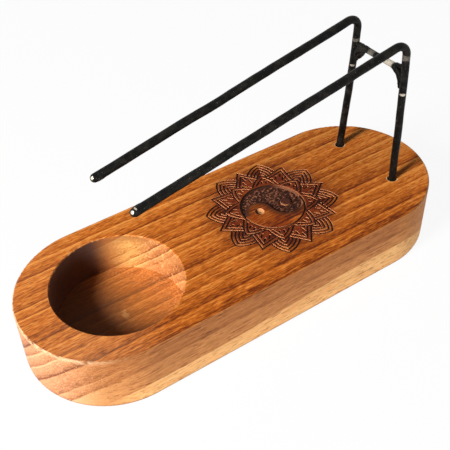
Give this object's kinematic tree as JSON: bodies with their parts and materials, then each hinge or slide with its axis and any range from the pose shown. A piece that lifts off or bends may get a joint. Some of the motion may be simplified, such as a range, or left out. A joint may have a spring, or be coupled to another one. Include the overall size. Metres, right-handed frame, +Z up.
{
  "type": "incense burner",
  "caption": "Stadium-shaped hardwood block with a round tealight recess and an engraved lotus medallion, and a lift-out bent-wire holder whose sloping arms reach over the flame.",
  "frame": {"origin": "middle of the block's underside, on the surface that it stands on", "axes": "+X along the block from the recess end to the post end, +Y to the block's left side, +Z up"},
  "size_m": [0.182, 0.068, 0.0909],
  "materials": {
    "hardwood": "oiled hardwood, engraving burnt dark",
    "black_wire": "black mill scale, satin",
    "brace_wire": "half bare, half heat-blackened steel",
    "weld_metal": "lumpy weld, heat-blackened with bare spots",
    "tip_metal": "blackened, ground bright at the end"
  },
  "bodies": {
    "base": {"base_block": "hardwood"},
    "holder": {"left_rod": "black_wire", "right_rod": "black_wire", "cross_brace": "brace_wire", "left_upper_weld": "weld_metal", "left_lower_weld": "weld_metal", "right_upper_weld": "weld_metal", "right_lower_weld": "weld_metal", "left_tip_stop": "tip_metal", "right_tip_stop": "tip_metal"}
  },
  "joints": [
    {"name": "frame_lift", "type": "slide", "parent": "base", "child": "holder", "axis": [0, 0, 1], "range_m": [0, 0.022]}
  ]
}
